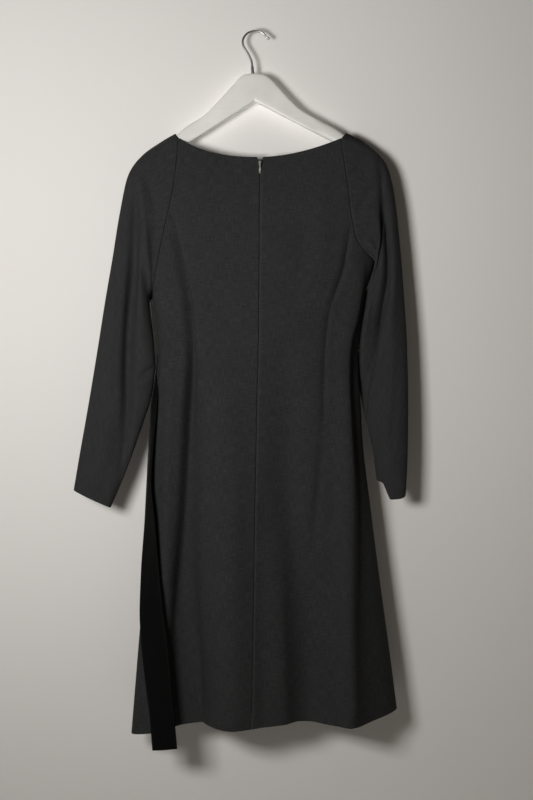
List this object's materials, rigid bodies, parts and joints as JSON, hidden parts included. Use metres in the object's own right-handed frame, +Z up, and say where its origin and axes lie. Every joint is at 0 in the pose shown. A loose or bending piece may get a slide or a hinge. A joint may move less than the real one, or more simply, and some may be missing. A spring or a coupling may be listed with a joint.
{
  "type": "long-sleeve wool dress on a wooden hanger",
  "caption": "Fitted dress with a boat neckline, long narrow sleeves, a zip down its middle back, a flared skirt and one hanging velvet sash, held by a hanger.",
  "frame": {"origin": "inside top of the hanger's hook, where a rail or nail carries it", "axes": "+Z up, +X to the wearer's right and +Y from the dress's back towards its front"},
  "size_m": [0.6119, 0.1444, 1.3071],
  "materials": {
    "wool": "fine charcoal wool, softly heathered, matte",
    "velvet": "black velvet with a faint green cast",
    "zip_tape": "matte woven tape",
    "zip_metal": "satin",
    "white_wood": "white satin paint",
    "chrome_wire": "bright"
  },
  "bodies": {
    "dress": {"back_left": "wool", "back_right": "wool", "front": "wool", "sleeve_left": "wool", "sleeve_right": "wool", "sash": "velvet", "zip": "zip_tape", "zip_slider": "zip_metal", "hanger": "white_wood", "hanger_hook": "chrome_wire"},
    "pull": {"zip_pull": "zip_metal"}
  },
  "joints": [
    {"name": "zip_pull_hinge", "type": "hinge", "parent": "dress", "child": "pull", "pos_m": [0.009, -0.0225, -0.24133], "axis": [-1, 0, 0], "range_deg": [0, 150]}
  ]
}
